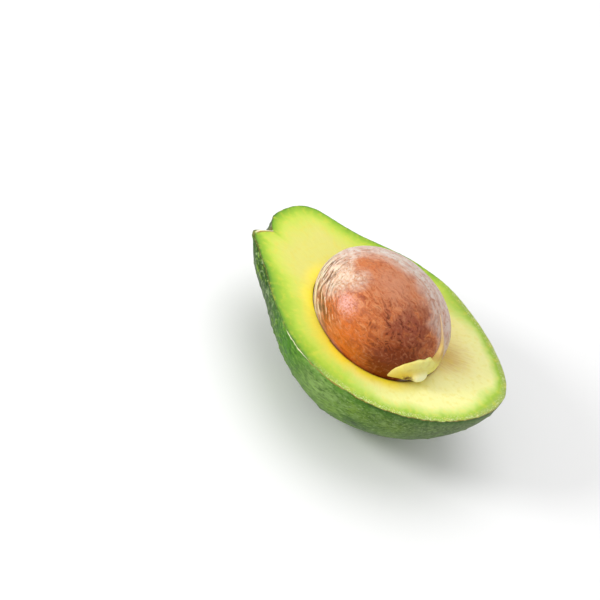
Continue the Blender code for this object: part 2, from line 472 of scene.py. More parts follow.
# Green at the skin, in a band with a cloudy edge, and paler over the blossom half.
green = add(tree, "Attribute", out="Fac", attribute_name="inwards_from_green")
fine_shift = add(tree, "Math", {0: mottle, 1: 0.24, 2: -0.12}, operation="MULTIPLY_ADD")
wide_shift = add(tree, "Math", {0: cloud, 1: 0.5, 2: -0.25}, operation="MULTIPLY_ADD")
shift = add(tree, "Math", {0: fine_shift, 1: wide_shift}, operation="ADD")
ease_in = add(tree, "MapRange", {0: green, 1: 0.0, 2: 0.5, 3: 0.1, 4: 1.0})
green = add(tree, "Math", {0: shift, 1: ease_in, 2: green}, operation="MULTIPLY_ADD")
green = add(tree, "Math", {0: green, 1: 0.5}, operation="MULTIPLY")
base = add(tree, "ValToRGB", {"Fac": green}, stops=[
    (0.00, "#3A6210"), (0.02, "#5E8E16"), (0.06, "#84B220"), (0.20, "#A9CB34"),
    (0.34, "#C6D84C"), (0.52, "#D4DB5E"), (0.70, "#D9D96A"), (0.95, "#DCD872"),
])
paler = add(tree, "ValToRGB", {"Fac": green}, stops=[
    (0.00, "#768A3A"), (0.02, "#98AC50"), (0.10, "#9CB848"), (0.20, "#A2C63A"),
    (0.36, "#B6D84A"), (0.56, "#D0E26A"), (0.78, "#EEEA90"), (0.98, "#F4E892"),
])
blossom = add(tree, "Attribute", out="Fac", attribute_name="blossom_half")
base = add(tree, "Mix", {0: blossom, 6: base, 7: paler}, **MIX_SHADE)
# A pale grain where the knife roughened the blossom half's edge.
grain = add(tree, "TexNoise", {"Vector": place, "Scale": 1 / (0.5 * MM), "Detail": 2.0})
grain = add(tree, "MapRange", {0: grain, 1: 0.50, 2: 0.64, 4: 0.8})
skin_way = add(tree, "Attribute", out="Fac", attribute_name="from_skin")
cut_edge = add(tree, "MapRange", {0: skin_way, 1: 2.6, 2: 0.8})
for factor in (cut_edge, blossom):
    grain = add(tree, "Math", {0: grain, 1: factor}, operation="MULTIPLY")
base = add(tree, "Mix", {0: grain, 6: base, 7: "#DFE2A8"}, **MIX_SHADE)
# Buttery inside the round end, and golden round the pit.
along_fruit = add(tree, "SeparateXYZ", {0: place})
bulb = add(tree, "MapRange", {0: along_fruit, 1: 2 * MM, 2: 24 * MM, 4: 0.9}, **SMOOTH)
inner = add(tree, "MapRange", {0: green, 1: 0.2, 2: 0.5})
bulb = add(tree, "Math", {0: bulb, 1: inner}, operation="MULTIPLY")
base = add(tree, "Mix", {0: bulb, 6: base, 7: "#F5F1A6"}, **MIX_SHADE)
gold_reach = add(tree, "Attribute", out="Fac", attribute_name="from_pit")
gold = add(tree, "MapRange", {0: gold_reach, 1: 7.0, 2: 0.0, 4: 1.3}, **SMOOTH)
gold_side = add(tree, "Attribute", out="Fac", attribute_name="golden_side")
gold = add(tree, "Math", {0: gold, 1: cloud}, operation="MULTIPLY")
gold = add(tree, "Math", {0: gold, 1: gold_side}, operation="MULTIPLY", use_clamp=True)
base = add(tree, "Mix", {0: gold, 6: base, 7: "#FBE53C"}, **MIX_SHADE)
# The soft dip has browned fibres and a tan painted shade, and painted shade darkens the lip where the pit
# and the tag touch it.
soft = add(tree, "Attribute", out="Fac", attribute_name="soft_dip")
browning = add(tree, "MapRange", {0: fibres, 1: 0.45, 2: 0.64, 4: 0.45})
browning = add(tree, "Math", {0: browning, 1: soft}, operation="MULTIPLY")
base = add(tree, "Mix", {0: browning, 6: base, 7: "#B98F45"}, **MIX_SHADE)
dip_shade = add(tree, "Math", {0: soft, 1: 1.6}, operation="POWER")
dip_shade = add(tree, "Math", {0: dip_shade, 1: 0.75}, operation="MULTIPLY")
base = add(tree, "Mix", {0: dip_shade, 6: base, 7: "#C8A04A"}, **MIX_SHADE)
# Painted shade along the lip, where the pit and the tag touch it.
lip_contact_shade = add(tree, "Attribute", out="Fac", attribute_name="painted_lip_shade")
lip_contact_shade = add(tree, "Math", {0: lip_contact_shade, 1: 0.75}, operation="MULTIPLY")
base = add(tree, "Mix", {0: lip_contact_shade, 6: base, 7: "#5E4812"}, **MIX_SHADE)
yellow = add(tree, "MapRange", {0: mottle, 1: 0.5, 2: 0.7, 4: 0.30})
base = add(tree, "Mix", {0: yellow, 6: base, 7: "#E2D245"}, **MIX_SHADE)
# A brown and a pale line edge the lobe beside the notch.
lobe = add(tree, "Attribute", out="Fac", attribute_name="lobe_edge")
for start, full, shade in ((1.5, 1.1, "#A5803A"), (0.75, 0.55, "#FBF5CC")):
    line = add(tree, "MapRange", {0: skin_way, 1: start, 2: full, 4: 0.9})
    line = add(tree, "Math", {0: line, 1: lobe}, operation="MULTIPLY")
    base = add(tree, "Mix", {0: line, 6: base, 7: shade}, **MIX_SHADE)
streak = add(tree, "MapRange", {0: fibres, 1: 0.3, 2: 0.7, 3: 0.975, 4: 1.01})
base = add(tree, "Mix", {0: 1.0, 6: base, 7: streak}, blend_type="MULTIPLY", **MIX_SHADE)
tree.links.new(base, shader.inputs["Base Color"])
shader.inputs["Subsurface Weight"].default_value = 0.35
shader.inputs["Subsurface Radius"].default_value = (1.0, 0.8, 0.25)
shader.inputs["Subsurface Scale"].default_value = 2.5 * MM
shader.inputs["Specular IOR Level"].default_value = 0.35
rough = add(tree, "MapRange", {0: mottle, 1: 0.3, 2: 0.7, 3: 0.40, 4: 0.50})
tree.links.new(rough, shader.inputs["Roughness"])
relief = add(tree, "Math", {0: fibres, 1: mottle}, operation="ADD")
bump = add(tree, "Bump", {"Strength": 0.22, "Distance": 0.12 * MM, "Height": relief})
tree.links.new(bump, shader.inputs["Normal"])

# The skin is thin and leathery with a waxy gloss: dark green, paler where the bloom is left on it.
skin = bpy.data.materials.new("green_avocado_skin")
skin.use_nodes = True
tree = skin.node_tree
shader = tree.nodes["Principled BSDF"]
place = add(tree, "TexCoord", out="Object")
cloud = add(tree, "TexNoise", {"Vector": place, "Scale": 1 / (14 * MM), "Detail": 4.0})
mottle = add(tree, "TexNoise", {"Vector": place, "Scale": 1 / (2.4 * MM), "Detail": 5.0})
base = add(tree, "ValToRGB", {"Fac": cloud}, stops=[
    (0.30, "#284A04"), (0.45, "#3A6206"), (0.60, "#52780A"), (0.75, "#72941C"),
])
# Greener just below the cut; at the neck, painted shade makes it nearly black, with pale flecks.
below = add(tree, "Attribute", out="Fac", attribute_name="below_rim")
edge = add(tree, "MapRange", {0: below, 1: 6.0, 2: 0.2, 4: 0.75}, **SMOOTH)
base = add(tree, "Mix", {0: edge, 6: base, 7: "#4C8A04"}, **MIX_SHADE)
along_fruit = add(tree, "SeparateXYZ", {0: place})
across_fruit = add(tree, "SeparateXYZ", {0: place}, out="Y")
shaded_neck = add(tree, "MapRange", {0: along_fruit, 1: -12 * MM, 2: -46 * MM, 4: 0.85}, **SMOOTH)
base = add(tree, "Mix", {0: shaded_neck, 6: base, 7: "#203C06"}, **MIX_SHADE)
flecks = add(tree, "TexNoise", {"Vector": place, "Scale": 1 / (1.5 * MM), "Detail": 3.0})
flecks = add(tree, "MapRange", {0: flecks, 1: 0.53, 2: 0.68, 4: 0.6})
flecks = add(tree, "Math", {0: flecks, 1: shaded_neck}, operation="MULTIPLY")
base = add(tree, "Mix", {0: flecks, 6: base, 7: "#A6BA84"}, **MIX_SHADE)
far_side = add(tree, "MapRange", {0: across_fruit, 1: -12 * MM, 2: 16 * MM, 4: 0.6})
base = add(tree, "Mix", {0: far_side, 6: base, 7: "#1F3E10"}, **MIX_SHADE)
# One patch is waxy and lighter with a painted sheen, the one beside it is rubbed fresh, and the blossom
# end is greyer.
waxy_sheen = add(tree, "Attribute", out="Fac", attribute_name="waxy_sheen_patch")
sheen_fleck = add(tree, "MapRange", {0: mottle, 1: 0.35, 2: 0.60, 3: 0.45, 4: 0.95})
waxy_sheen = add(tree, "Math", {0: waxy_sheen, 1: sheen_fleck}, operation="MULTIPLY")
base = add(tree, "Mix", {0: waxy_sheen, 6: base, 7: "#7E9E50"}, **MIX_SHADE)
fresh = add(tree, "Attribute", out="Fac", attribute_name="fresh_patch")
fresh = add(tree, "Math", {0: fresh, 1: 0.95}, operation="MULTIPLY")
base = add(tree, "Mix", {0: fresh, 6: base, 7: "#3C7400"}, **MIX_SHADE)
grey_end = add(tree, "MapRange", {0: along_fruit, 1: 8 * MM, 2: 42 * MM, 4: 0.5})
base = add(tree, "Mix", {0: grey_end, 6: base, 7: "#6C7450"}, **MIX_SHADE)
# Bloom and pores show most on the belly, and not where the skin is rubbed.
unrubbed = add(tree, "Math", {0: 1.0, 1: fresh}, operation="SUBTRACT")
belly = add(tree, "MapRange", {0: along_fruit, 1: -20 * MM, 2: 14 * MM, 3: 0.3, 4: 1.0})
bloom = add(tree, "MapRange", {0: mottle, 1: 0.45, 2: 0.70, 4: 0.45})
for factor in (cloud, unrubbed, belly):
    bloom = add(tree, "Math", {0: bloom, 1: factor}, operation="MULTIPLY")
base = add(tree, "Mix", {0: bloom, 6: base, 7: "#95AC78"}, **MIX_SHADE)
pores = add(tree, "TexVoronoi", {"Vector": place, "Scale": 1 / (1.3 * MM), "Randomness": 1.0})
pores = add(tree, "MapRange", {0: pores, 1: 0.22, 2: 0.10, 4: 0.55})
for factor in (mottle, unrubbed, belly):
    pores = add(tree, "Math", {0: pores, 1: factor}, operation="MULTIPLY")
base = add(tree, "Mix", {0: pores, 6: base, 7: "#B9CC9C"}, **MIX_SHADE)
# Leathery dimples, drawn out along the fruit.
lengthways = add(tree, "Mapping", {"Vector": place, "Scale": (0.38, 1.0, 1.0)})
dimples = add(tree, "TexNoise", {
    "Vector": lengthways, "Scale": 1 / MM, "Detail": 4.0, "Roughness": 0.6, "Distortion": 0.4,
})
pale = add(tree, "Mix", {0: belly, 6: "#8CB428", 7: "#96B468"}, **MIX_SHADE)
for start, full, most, shade in ((0.48, 0.36, 0.55, "#1E3C06"), (0.55, 0.68, 0.45, pale)):
    dimpled = add(tree, "MapRange", {0: dimples, 1: start, 2: full, 4: most})
    base = add(tree, "Mix", {0: dimpled, 6: base, 7: shade}, **MIX_SHADE)
# The raised dots are yellower.
fine_noise = add(tree, "TexNoise", {"Vector": place, "Scale": 1 / (0.9 * MM), "Detail": 3.0})
raised_dots = add(tree, "Attribute", out="Fac", attribute_name="raised_dots")
plain_side = add(tree, "MapRange", {0: across_fruit, 1: -24 * MM, 2: 0.0, 3: 0.25, 4: 0.85})
ragged_dot = add(tree, "Math", {0: fine_noise, 1: 0.5, 2: raised_dots}, operation="MULTIPLY_ADD")
dot = add(tree, "MapRange", {0: ragged_dot, 1: 0.55, 2: 0.95})
dot = add(tree, "Math", {0: dot, 1: plain_side}, operation="MULTIPLY")
base = add(tree, "Mix", {0: dot, 6: base, 7: "#93BC3C"}, **MIX_SHADE)
# Painted shade darkens it below the torn edge, and along the edge runs a thin brown line, with a painted
# highlight where it was pulled.
uneven = add(tree, "MapRange", {0: mottle, 1: 0.3, 2: 0.7, 3: -0.35, 4: 0.35})
below = add(tree, "Math", {0: below, 1: uneven}, operation="ADD")
shade_under_tear = add(tree, "MapRange", {0: below, 1: 3.6, 2: 1.2, 4: 1.3})
tear = add(tree, "MapRange", {0: along_fruit, 1: 2 * MM, 2: 14 * MM})
for factor in (tear, mottle):
    shade_under_tear = add(tree, "Math", {0: shade_under_tear, 1: factor}, operation="MULTIPLY")
base = add(tree, "Mix", {0: shade_under_tear, 6: base, 7: "#2A5208"}, **MIX_SHADE)
# A brown line where it dried, and a painted highlight where it was pulled.
for name, shade in (("dried_edge", "#9A7F3C"), ("pulled_edge_highlight", "#F6EFC8")):
    line = add(tree, "MapRange", {0: below, 1: 0.65, 2: 0.50})
    there = add(tree, "Attribute", out="Fac", attribute_name=name)
    line = add(tree, "Math", {0: line, 1: there}, operation="MULTIPLY")
    base = add(tree, "Mix", {0: line, 6: base, 7: shade}, **MIX_SHADE)
# Corky spots, and the scar where the stem sat.
russet = add(tree, "Attribute", out="Fac", attribute_name="russet_spots")
russet_edge = add(tree, "Math", {0: fine_noise, 1: 0.8, 2: russet}, operation="MULTIPLY_ADD")
russet = add(tree, "MapRange", {0: russet_edge, 1: 0.78, 2: 1.05, 4: 0.75})
base = add(tree, "Mix", {0: russet, 6: base, 7: "#4A2A1C"}, **MIX_SHADE)
scar_mask = add(tree, "Attribute", out="Fac", attribute_name="stem_scar")
base = add(tree, "Mix", {0: scar_mask, 6: base, 7: "#7D6A38"}, **MIX_SHADE)
tree.links.new(base, shader.inputs["Base Color"])
rough = add(tree, "MapRange", {0: mottle, 1: 0.3, 2: 0.7, 3: 0.38, 4: 0.60})
tree.links.new(rough, shader.inputs["Roughness"])
shader.inputs["Specular IOR Level"].default_value = 0.12
shader.inputs["Coat Weight"].default_value = 0.05
shader.inputs["Coat Roughness"].default_value = 0.15
relief = add(tree, "Math", {0: mottle, 1: dimples}, operation="ADD")
bump = add(tree, "Bump", {"Strength": 0.5, "Distance": 0.2 * MM, "Height": relief})
tree.links.new(bump, shader.inputs["Normal"])

half.data.materials.append(flesh)
half.data.materials.append(skin)
below_cut = np.zeros(len(half.data.vertices), np.float32)
half.data.attributes["below_rim"].data.foreach_get("value", below_cut)
for face in half.data.polygons:
    face.material_index = int(max(below_cut[corner] for corner in face.vertices) > 0)

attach(half, "root")
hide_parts("avocado_half")


# ---- The pit ----
# One large seed, an egg on its side with its blunt end towards the blossom end. A thin brown coat
# covers it, with scraps of the pale papery film that it grew in. It lies loose in its hollow.

PIT_CUTS = 111                  # each of the starting cube's faces becomes 112 by 112

bpy.ops.object.select_all(action="DESELECT")
bpy.ops.mesh.primitive_cube_add(size=2)
pit = bpy.context.object
pit.name = "avocado_pit"
bpy.ops.object.mode_set(mode="EDIT")
bpy.ops.mesh.select_all(action="SELECT")
bpy.ops.mesh.subdivide(number_cuts=PIT_CUTS)
bpy.ops.object.mode_set(mode="OBJECT")
cube = np.array([vertex.co for vertex in pit.data.vertices])
unit = np.tan(cube * math.radians(45))
unit /= np.linalg.norm(unit, axis=1)[:, None]


def pit_place(direction, height=0.0):
    """A point on the pit's surface, or that far above it, for a direction from the pit's middle."""
    direction = np.asarray(direction, float)
    direction = direction / np.linalg.norm(direction, axis=-1, keepdims=True)
    fatness = 1 + PIT_TAPER * direction[..., :1]
    local = direction * PIT_HALF_SIZE * np.concatenate([np.ones_like(fatness), fatness, fatness], axis=-1)
    facing = direction / PIT_HALF_SIZE
    facing = facing / np.linalg.norm(facing, axis=-1, keepdims=True)
    local = local + facing * np.asarray(height)[..., None]
    turned = np.array(local)
    turned[..., :2] = local[..., :2] @ pit_turn.T
    return turned + PIT_FROM_MIDDLE + middle


BARE_SIDE = np.array([0.15, -0.75, 0.64])   # where the papery film has rubbed off
BARE_SIDE /= np.linalg.norm(BARE_SIDE)


def near(direction, reach):
    """1 at a direction on the pit, falling to 0 at reach away from it."""
    target = np.array(direction) / np.linalg.norm(direction)
    away = np.linalg.norm(unit - target, axis=1)
    return smooth_step(1 - away / reach)


# The film's folds run round the bare patch, so they are noise drawn out along circles about it.
from_bare = np.degrees(np.arccos(np.clip(unit @ BARE_SIDE, -1, 1)))
first = np.cross(BARE_SIDE, (0, 0, 1))
first /= np.linalg.norm(first)
second = np.cross(BARE_SIDE, first)
round_bare = np.arctan2(unit @ second, unit @ first)
drift = field(unit, 0.45, 27) * 4 + field(unit, 0.16, 28) * 1.6
around = [np.cos(round_bare) * 3.4, np.sin(round_bare) * 3.4]
folds = np.column_stack([*around, (from_bare + drift) / 2.4])
uneven = field(unit, 0.35, 24)
left_folds = np.maximum(near((-0.70, -0.60, 0.28), 0.62), 0.75 * near((-0.42, -0.90, 0.12), 0.55))
orange = np.maximum(near((-0.42, -0.32, 0.84), 0.26), 0.9 * near((-0.29, -0.27, 0.92), 0.20))
# Where the film begins, in degrees from the middle of the bare side.
film_from = 50 + 6 * uneven + 4 * field(unit, 0.13, 29)
uncovered = np.maximum(0.95 * near((-0.20, -0.63, 0.75), 0.54), near((-0.52, -0.62, 0.58), 0.55))
uncovered = np.maximum(uncovered, 0.85 * near((-0.36, -0.76, 0.54), 0.50))
film_from -= 38 * uncovered
film_from += 45 * near((0.74, -0.66, 0.05), 0.75) + 34 * near((0.90, -0.14, 0.36), 0.45)
film = smooth_step((from_bare - film_from + 5) / 20) * (1 - 0.8 * orange)
film *= 1 - 0.35 * near((0.75, -0.05, 0.60), 0.80)
left_over = smooth_step(0.5 + 2.2 * field(unit * (0.6, 1, 1), 0.42, 26))
film *= 1 - smooth_step((from_bare - 88) / 22) * (1 - 0.8 * left_over)
curled = np.exp(-(((from_bare + 1.5 * uneven - 63) / 1.3) ** 2)) * near((-0.66, -0.74, 0.02), 0.60)
wrinkle = field(folds, 1.0, 25)
swell = 0.11 * wrinkle * np.maximum(0.6 * film, left_folds) - 0.55 * near((0.05, 0.70, 0.71), 0.95)
for height, size, seed in ((0.22, 0.8, 21), (0.07, 0.25, 22), (0.03, 0.09, 23)):
    swell += height * field(unit, size, seed)
moved = pit_place(unit, swell * MM)
pit.data.vertices.foreach_set("co", moved.astype(np.float32).ravel())
pit.data.update()
store(pit, "maroon", near((0.62, -0.36, 0.68), 0.80))
# Nearly black at the base: the coat's dark brown with painted shade low down by the flesh.
store(pit, "dark_and_shaded_base", near((0.80, -0.58, 0.10), 0.80))
store(pit, "stroked", near((0.62, -0.56, 0.54), 0.75))
store(pit, "salmon", near((0.08, -0.22, 0.97), 0.85))
orange_side = np.maximum(near((0.20, -0.95, 0.10), 0.95), near((-0.22, -0.94, 0.26), 0.45))
store(pit, "orange_side", orange_side)
store(pit, "orange_patch", orange)
store(pit, "film", film)
store(pit, "left_folds", np.minimum(1.3 * left_folds, 1))
store(pit, "curled_edge", curled)
store(pit, "cream", near((-0.42, -0.68, 0.58), 0.70))
# A painted pink highlight on the bare side, where the key lamp's own highlight falls too.
store(pit, "pink_highlight_patch", 0.6 * near((-0.12, -0.86, 0.49), 0.32))
store(pit, "pit_way", unit * PIT_HALF_SIZE / MM)
store(pit, "fold_run", folds)

# The seed coat is brown and finely veined along the pit; a pinkish papery film clings to its sides.
# pit_way is in millimetres, so each pattern's scale is one over its size in millimetres.
coat = bpy.data.materials.new("avocado_seed_coat")
coat.use_nodes = True
tree = coat.node_tree
shader = tree.nodes["Principled BSDF"]
way = add(tree, "Attribute", out="Vector", attribute_name="pit_way")
bend = add(tree, "TexNoise", {"Vector": way, "Scale": 0.22, "Detail": 2.0}, out="Color")
bend = add(tree, "VectorMath", {0: bend, 1: (5, 5, 5)}, operation="MULTIPLY")
bent = add(tree, "VectorMath", {0: way, 1: bend}, operation="ADD")
stretch = add(tree, "Mapping", {"Vector": bent, "Scale": (0.28, 1.0, 1.0)})
streaks = add(tree, "TexNoise", {"Vector": stretch, "Scale": 1.0, "Detail": 6.0, "Roughness": 0.7})
speckle = add(tree, "TexNoise", {"Vector": way, "Scale": 1.5, "Detail": 6.0, "Roughness": 0.6})
veins = add(tree, "TexNoise", {
    "Vector": stretch, "Scale": 0.65, "Detail": 5.0, "Roughness": 0.6, "Distortion": 1.2,
})
veins = add(tree, "Math", {0: veins, 1: 0.5}, operation="SUBTRACT")
veins = add(tree, "Math", {0: veins}, operation="ABSOLUTE")
veins = add(tree, "MapRange", {0: veins, 1: 0.0, 2: 0.035, 3: 1.0, 4: 0.0})
fold = add(tree, "Attribute", out="Vector", attribute_name="fold_run")
fold_lines = add(tree, "TexNoise", {"Vector": fold, "Scale": 1.0, "Detail": 4.0, "Roughness": 0.6})
base = add(tree, "ValToRGB", {"Fac": streaks}, stops=[
    (0.28, "#82391A"), (0.42, "#B45C2A"), (0.55, "#CC7A44"), (0.72, "#DB9A68"),
])


def lay_over(name, shade, most, breakup, low, high):
    """Lays a shade over the base where the mask and its break-up allow."""
    mask = add(tree, "Attribute", out="Fac", attribute_name=name)
    broken = add(tree, "MapRange", {0: breakup, 1: low, 2: high})
    lift = add(tree, "Math", {0: broken, 1: mask}, operation="ADD")
    lift = add(tree, "MapRange", {0: lift, 1: 0.55, 2: 1.5, 4: most})
    lift = add(tree, "Math", {0: lift, 1: mask}, operation="MULTIPLY", use_clamp=True)
    return add(tree, "Mix", {0: lift, 6: base, 7: shade}, **MIX_SHADE)


# Broad shades: orange on the side, maroon above it, nearly black at the base from dark brown and painted
# shade.
blotches = add(tree, "Mapping", {"Vector": bent, "Scale": (0.16, 0.42, 0.42)})
blotches = add(tree, "TexNoise", {"Vector": blotches, "Scale": 1.0, "Detail": 3.0})
base = lay_over("orange_side", "#CE6A22", 1.3, blotches, 0.36, 0.60)
base = lay_over("maroon", "#8E4630", 1.1, blotches, 0.36, 0.60)
base = lay_over("dark_and_shaded_base", "#7A3000", 1.6, streaks, 0.28, 0.58)
darker = add(tree, "MapRange", {0: blotches, 1: 0.50, 2: 0.68, 4: 0.55})
base = add(tree, "Mix", {0: darker, 6: base, 7: "#8C4424"}, **MIX_SHADE)
vein_strength = add(tree, "Math", {0: veins, 1: 0.30}, operation="MULTIPLY")
base = add(tree, "Mix", {0: vein_strength, 6: base, 7: "#6A2C16"}, **MIX_SHADE)
base = lay_over("salmon", "#BC7A58", 1.0, streaks, 0.34, 0.62)
# Short dark and pale strokes along the pit.
short = add(tree, "Mapping", {"Vector": bent, "Scale": (0.34, 1.05, 1.05)})
strokes = add(tree, "TexNoise", {"Vector": short, "Scale": 1.0, "Detail": 4.0})
stroked = add(tree, "Attribute", out="Fac", attribute_name="stroked")
stroked = add(tree, "MapRange", {0: stroked, 1: 0.0, 2: 0.8, 3: 0.18, 4: 0.85})
dark_strokes = add(tree, "MapRange", {0: strokes, 1: 0.54, 2: 0.64})
dark_strokes = add(tree, "Math", {0: dark_strokes, 1: stroked}, operation="MULTIPLY")
base = add(tree, "Mix", {0: dark_strokes, 6: base, 7: "#5A2206"}, **MIX_SHADE)
pale_strokes = add(tree, "MapRange", {0: strokes, 1: 0.46, 2: 0.32, 4: 0.30})
base = add(tree, "Mix", {0: pale_strokes, 6: base, 7: "#CD8E66"}, **MIX_SHADE)
# The painted pink highlight, under the key lamp's own one.
base = lay_over("pink_highlight_patch", "#E2A79A", 1.6, speckle, 0.34, 0.58)
# The film is greyish white and creamier on one side, specked, and torn through in holes.
creamy = add(tree, "Attribute", out="Fac", attribute_name="cream")
film_colour = add(tree, "Mix", {0: creamy, 6: "#D3CAC1", 7: "#E2CAB0"}, **MIX_SHADE)
specks = add(tree, "TexNoise", {"Vector": way, "Scale": 1.1, "Detail": 3.0})
speckled = add(tree, "MapRange", {0: creamy, 1: 0.0, 2: 0.4, 3: 0.25, 4: 1.0})
for start, full, most, shade in ((0.54, 0.64, 0.55, "#E9E6DC"), (0.46, 0.36, 0.65, "#C08C68")):
    dotted = add(tree, "MapRange", {0: specks, 1: start, 2: full, 4: most})
    dotted = add(tree, "Math", {0: dotted, 1: speckled}, operation="MULTIPLY")
    film_colour = add(tree, "Mix", {0: dotted, 6: film_colour, 7: shade}, **MIX_SHADE)
thin = add(tree, "Mix", {0: 0.45, 2: blotches, 3: fold_lines})
film_mask = add(tree, "Attribute", out="Fac", attribute_name="film")
cover = add(tree, "MapRange", {0: thin, 1: 0.62, 2: 0.40, 3: 0.35, 4: 0.95})
cover = add(tree, "Math", {0: cover, 1: film_mask}, operation="MULTIPLY")
base = add(tree, "Mix", {0: cover, 6: base, 7: film_colour}, **MIX_SHADE)
holes = add(tree, "TexNoise", {"Vector": way, "Scale": 0.75, "Detail": 3.0})
holes = add(tree, "MapRange", {0: holes, 1: 0.58, 2: 0.66, 4: 0.65})
holes = add(tree, "Math", {0: holes, 1: film_mask}, operation="MULTIPLY")
base = add(tree, "Mix", {0: holes, 6: base, 7: "#A8693E"}, **MIX_SHADE)
# Where it is folded the ridges are pale and the coat shows dark between them.
folded = add(tree, "Attribute", out="Fac", attribute_name="left_folds")
for start, full, most, shade in ((0.50, 0.42, 1.0, "#6A4A2C"), (0.54, 0.62, 0.8, "#EBDFC2")):
    line = add(tree, "MapRange", {0: fold_lines, 1: start, 2: full, 4: most})
    line = add(tree, "Math", {0: line, 1: folded}, operation="MULTIPLY")
    base = add(tree, "Mix", {0: line, 6: base, 7: shade}, **MIX_SHADE)
base = lay_over("orange_patch", "#C07042", 1.2, specks, 0.46, 0.56)
curled_edge = add(tree, "Attribute", out="Fac", attribute_name="curled_edge")
base = add(tree, "Mix", {0: curled_edge, 6: base, 7: "#F1E8C8"}, **MIX_SHADE)
tree.links.new(base, shader.inputs["Base Color"])
rough = add(tree, "MapRange", {0: speckle, 1: 0.3, 2: 0.7, 3: 0.36, 4: 0.52})
tree.links.new(rough, shader.inputs["Roughness"])
shader.inputs["Specular IOR Level"].default_value = 0.21
shader.inputs["Subsurface Weight"].default_value = 0.06
shader.inputs["Subsurface Scale"].default_value = 1.5 * MM
creased = add(tree, "Math", {0: fold_lines, 1: film_mask}, operation="MULTIPLY")
relief = add(tree, "Math", {0: strokes, 1: creased}, operation="ADD")
bump = add(tree, "Bump", {"Strength": 0.45, "Distance": 0.15 * MM, "Height": relief})
tree.links.new(bump, shader.inputs["Normal"])
pit.data.materials.append(coat)
bpy.ops.object.shade_smooth()

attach(pit, "root")
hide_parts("pit")


# ---- The tissue at the pit's base ----
# A soft pale tag of flesh and seed coat that stayed on the pit where it was fed, thick at the
# bottom, and drawn out into a thin golden strand up the pit's far side.

TAG_RINGS = 120
TAG_SEGMENTS = 40
TAG_FROM_PIT_MIDDLE = 24        # in millimetres, which turns its half width into an angle
# Along its middle: a direction from the pit's middle, then its half width and height in millimetres.
TAG_COURSE = np.array([
    (0.790, -0.600, -0.14, 0.3, 0.3),
    (0.840, -0.530, -0.04, 2.4, 0.9),
    (0.890, -0.410, 0.03, 4.4, 1.4),
    (0.940, -0.260, 0.08, 5.0, 1.7),
    (0.965, -0.100, 0.09, 4.8, 1.8),
    (0.972, 0.050, 0.11, 4.0, 1.5),
    (0.955, 0.125, 0.25, 2.9, 1.1),
    (0.905, 0.178, 0.40, 1.15, 0.8),
    (0.820, 0.190, 0.55, 0.5, 0.5),
    (0.720, 0.220, 0.66, 0.35, 0.3),
    (0.610, 0.250, 0.75, 0.2, 0.2),
])

bpy.ops.object.select_all(action="DESELECT")
bpy.ops.mesh.primitive_uv_sphere_add(segments=TAG_SEGMENTS, ring_count=TAG_RINGS, radius=1)
tag = bpy.context.object
tag.name = "pit_base_tissue"
ball = np.array([vertex.co for vertex in tag.data.vertices])
share = 1 - np.arccos(np.clip(ball[:, 2], -1, 1)) / math.pi
turn = np.arctan2(ball[:, 1], ball[:, 0])
steps = np.linspace(0, 1, len(TAG_COURSE))


def on_course(at):
    """The course's values at shares of its length, smoothed between its points."""
    sides = [np.clip(at + offset, 0, 1) for offset in (-0.045, -0.02, 0, 0.02, 0.045)]
    found = [[np.interp(side, steps, values) for values in TAG_COURSE.T] for side in sides]
    return np.mean(found, axis=0).T


course = on_course(share)
ahead = on_course(share + 0.01)[:, :3] - on_course(share - 0.01)[:, :3]
radial = course[:, :3] / np.linalg.norm(course[:, :3], axis=1)[:, None]
sideways = np.cross(radial, ahead)
sideways /= np.linalg.norm(sideways, axis=1)[:, None]
end_close = np.sqrt(np.clip(1 - (2 * share - 1) ** 16, 0, 1))   # it closes at both ends
half_widths = course[:, 3] * end_close
heights = course[:, 4] * end_close
edge_wave = 1 + 0.12 * field(ball + np.outer(share, (6, 0, 0)), 0.5, 31)
offset = np.cos(turn) * half_widths * edge_wave
tag_direction = radial + sideways * (offset / TAG_FROM_PIT_MIDDLE)[:, None]
# The bulge that the flesh pulled out at its bottom edge.
bulge = np.exp(-(((share - 0.326) / 0.066) ** 4) - ((offset + 2.5) / 2.2) ** 4)
upper = np.maximum(np.sin(turn), 0)
lift = np.where(upper > 0, upper ** 0.8, 0.25 * np.sin(turn)) * heights
lift = lift + upper ** 0.5 * 1.9 * bulge
lift = lift + upper * heights * 0.22 * field(tag_direction, 0.09, 32)
placed = pit_place(tag_direction, lift * MM)
tag.data.vertices.foreach_set("co", placed.astype(np.float32).ravel())
tag.data.update()
store(tag, "bulge", bulge)
store(tag, "browned", 1.2 * np.exp(-(((share - 0.222) / 0.055) ** 2) - ((offset + 2.4) / 1.4) ** 2))
store(tag, "along", share)
store(tag, "butter_yellow", np.exp(-(((share - 0.20) / 0.11) ** 2) - ((offset + 0.3) / 1.8) ** 2))
one_side = smooth_step((offset / np.maximum(half_widths, 0.05) + 0.1) / 0.6)
store(tag, "golden_edge", np.exp(-(((share - 0.66) / 0.07) ** 2)) * one_side)
bpy.ops.object.mode_set(mode="EDIT")
bpy.ops.mesh.select_all(action="SELECT")
bpy.ops.mesh.normals_make_consistent(inside=False)
bpy.ops.object.mode_set(mode="OBJECT")
bpy.ops.object.shade_smooth()

